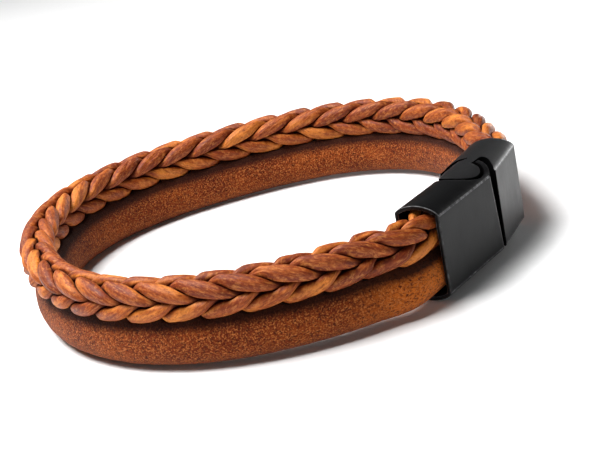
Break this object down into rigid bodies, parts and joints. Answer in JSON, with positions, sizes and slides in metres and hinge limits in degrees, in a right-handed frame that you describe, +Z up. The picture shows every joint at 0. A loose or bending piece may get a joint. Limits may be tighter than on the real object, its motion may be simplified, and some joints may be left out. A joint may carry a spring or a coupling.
{
  "type": "two-strand leather bracelet",
  "caption": "Leather bracelet with a braided strand above a plain round strand, both ends held in a black steel hook clasp.",
  "frame": {"origin": "middle of the loop, on the surface that the bracelet lies on", "axes": "+Z up along the loop's axis, across the height of the two strands; +X from the middle of the loop towards the clasp; +Y along the clasp, from the hook half to the tongue half"},
  "size_m": [0.0716, 0.076, 0.0134],
  "materials": {
    "braid_leather": "waxed tan leather laces, satin, with darker creases",
    "plain_leather": "rough rust-brown leather with fine light specks",
    "black_steel": "matt black brushed steel with bare bright edges"
  },
  "bodies": {
    "root": {"clasp_hook_half": "black_steel", "clasp_tongue_half": "black_steel", "plain_strand": "plain_leather", "braid_strand_1": "braid_leather", "braid_strand_2": "braid_leather", "braid_strand_3": "braid_leather", "braid_strand_4": "braid_leather", "braid_strand_5": "braid_leather", "braid_strand_6": "braid_leather", "braid_strand_7": "braid_leather", "braid_strand_8": "braid_leather"}
  },
  "joints": []
}
